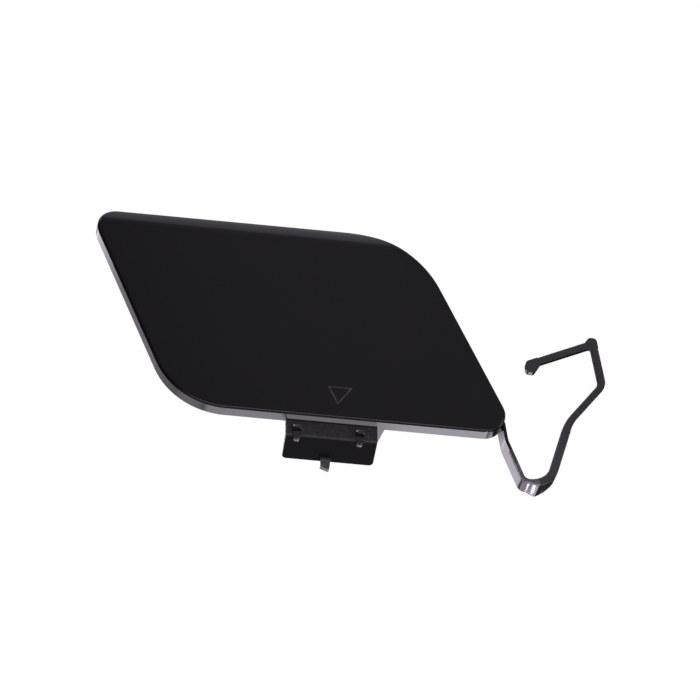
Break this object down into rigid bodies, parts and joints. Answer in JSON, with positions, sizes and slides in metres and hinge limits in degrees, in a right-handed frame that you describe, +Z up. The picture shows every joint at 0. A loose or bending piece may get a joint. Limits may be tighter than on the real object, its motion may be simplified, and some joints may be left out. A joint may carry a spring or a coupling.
{
  "type": "bumper tow hook cover",
  "caption": "Black plastic bumper tow hook cover: slanted panel with rim, latch tab and a tether that ends in a hook",
  "frame": {"origin": "middle of the plane that the rim's rear edge seats on", "axes": "+X along the cover, to the right as it is seen on the vehicle; +Y into the bumper, square to the seating plane; +Z up, square to the cover's lower edge"},
  "size_m": [0.1229, 0.0111, 0.065],
  "materials": {
    "black_plastic": "moulded black plastic with a fine satin sheen"
  },
  "bodies": {
    "root": {"tow_hook_cover": "black_plastic"}
  },
  "joints": []
}
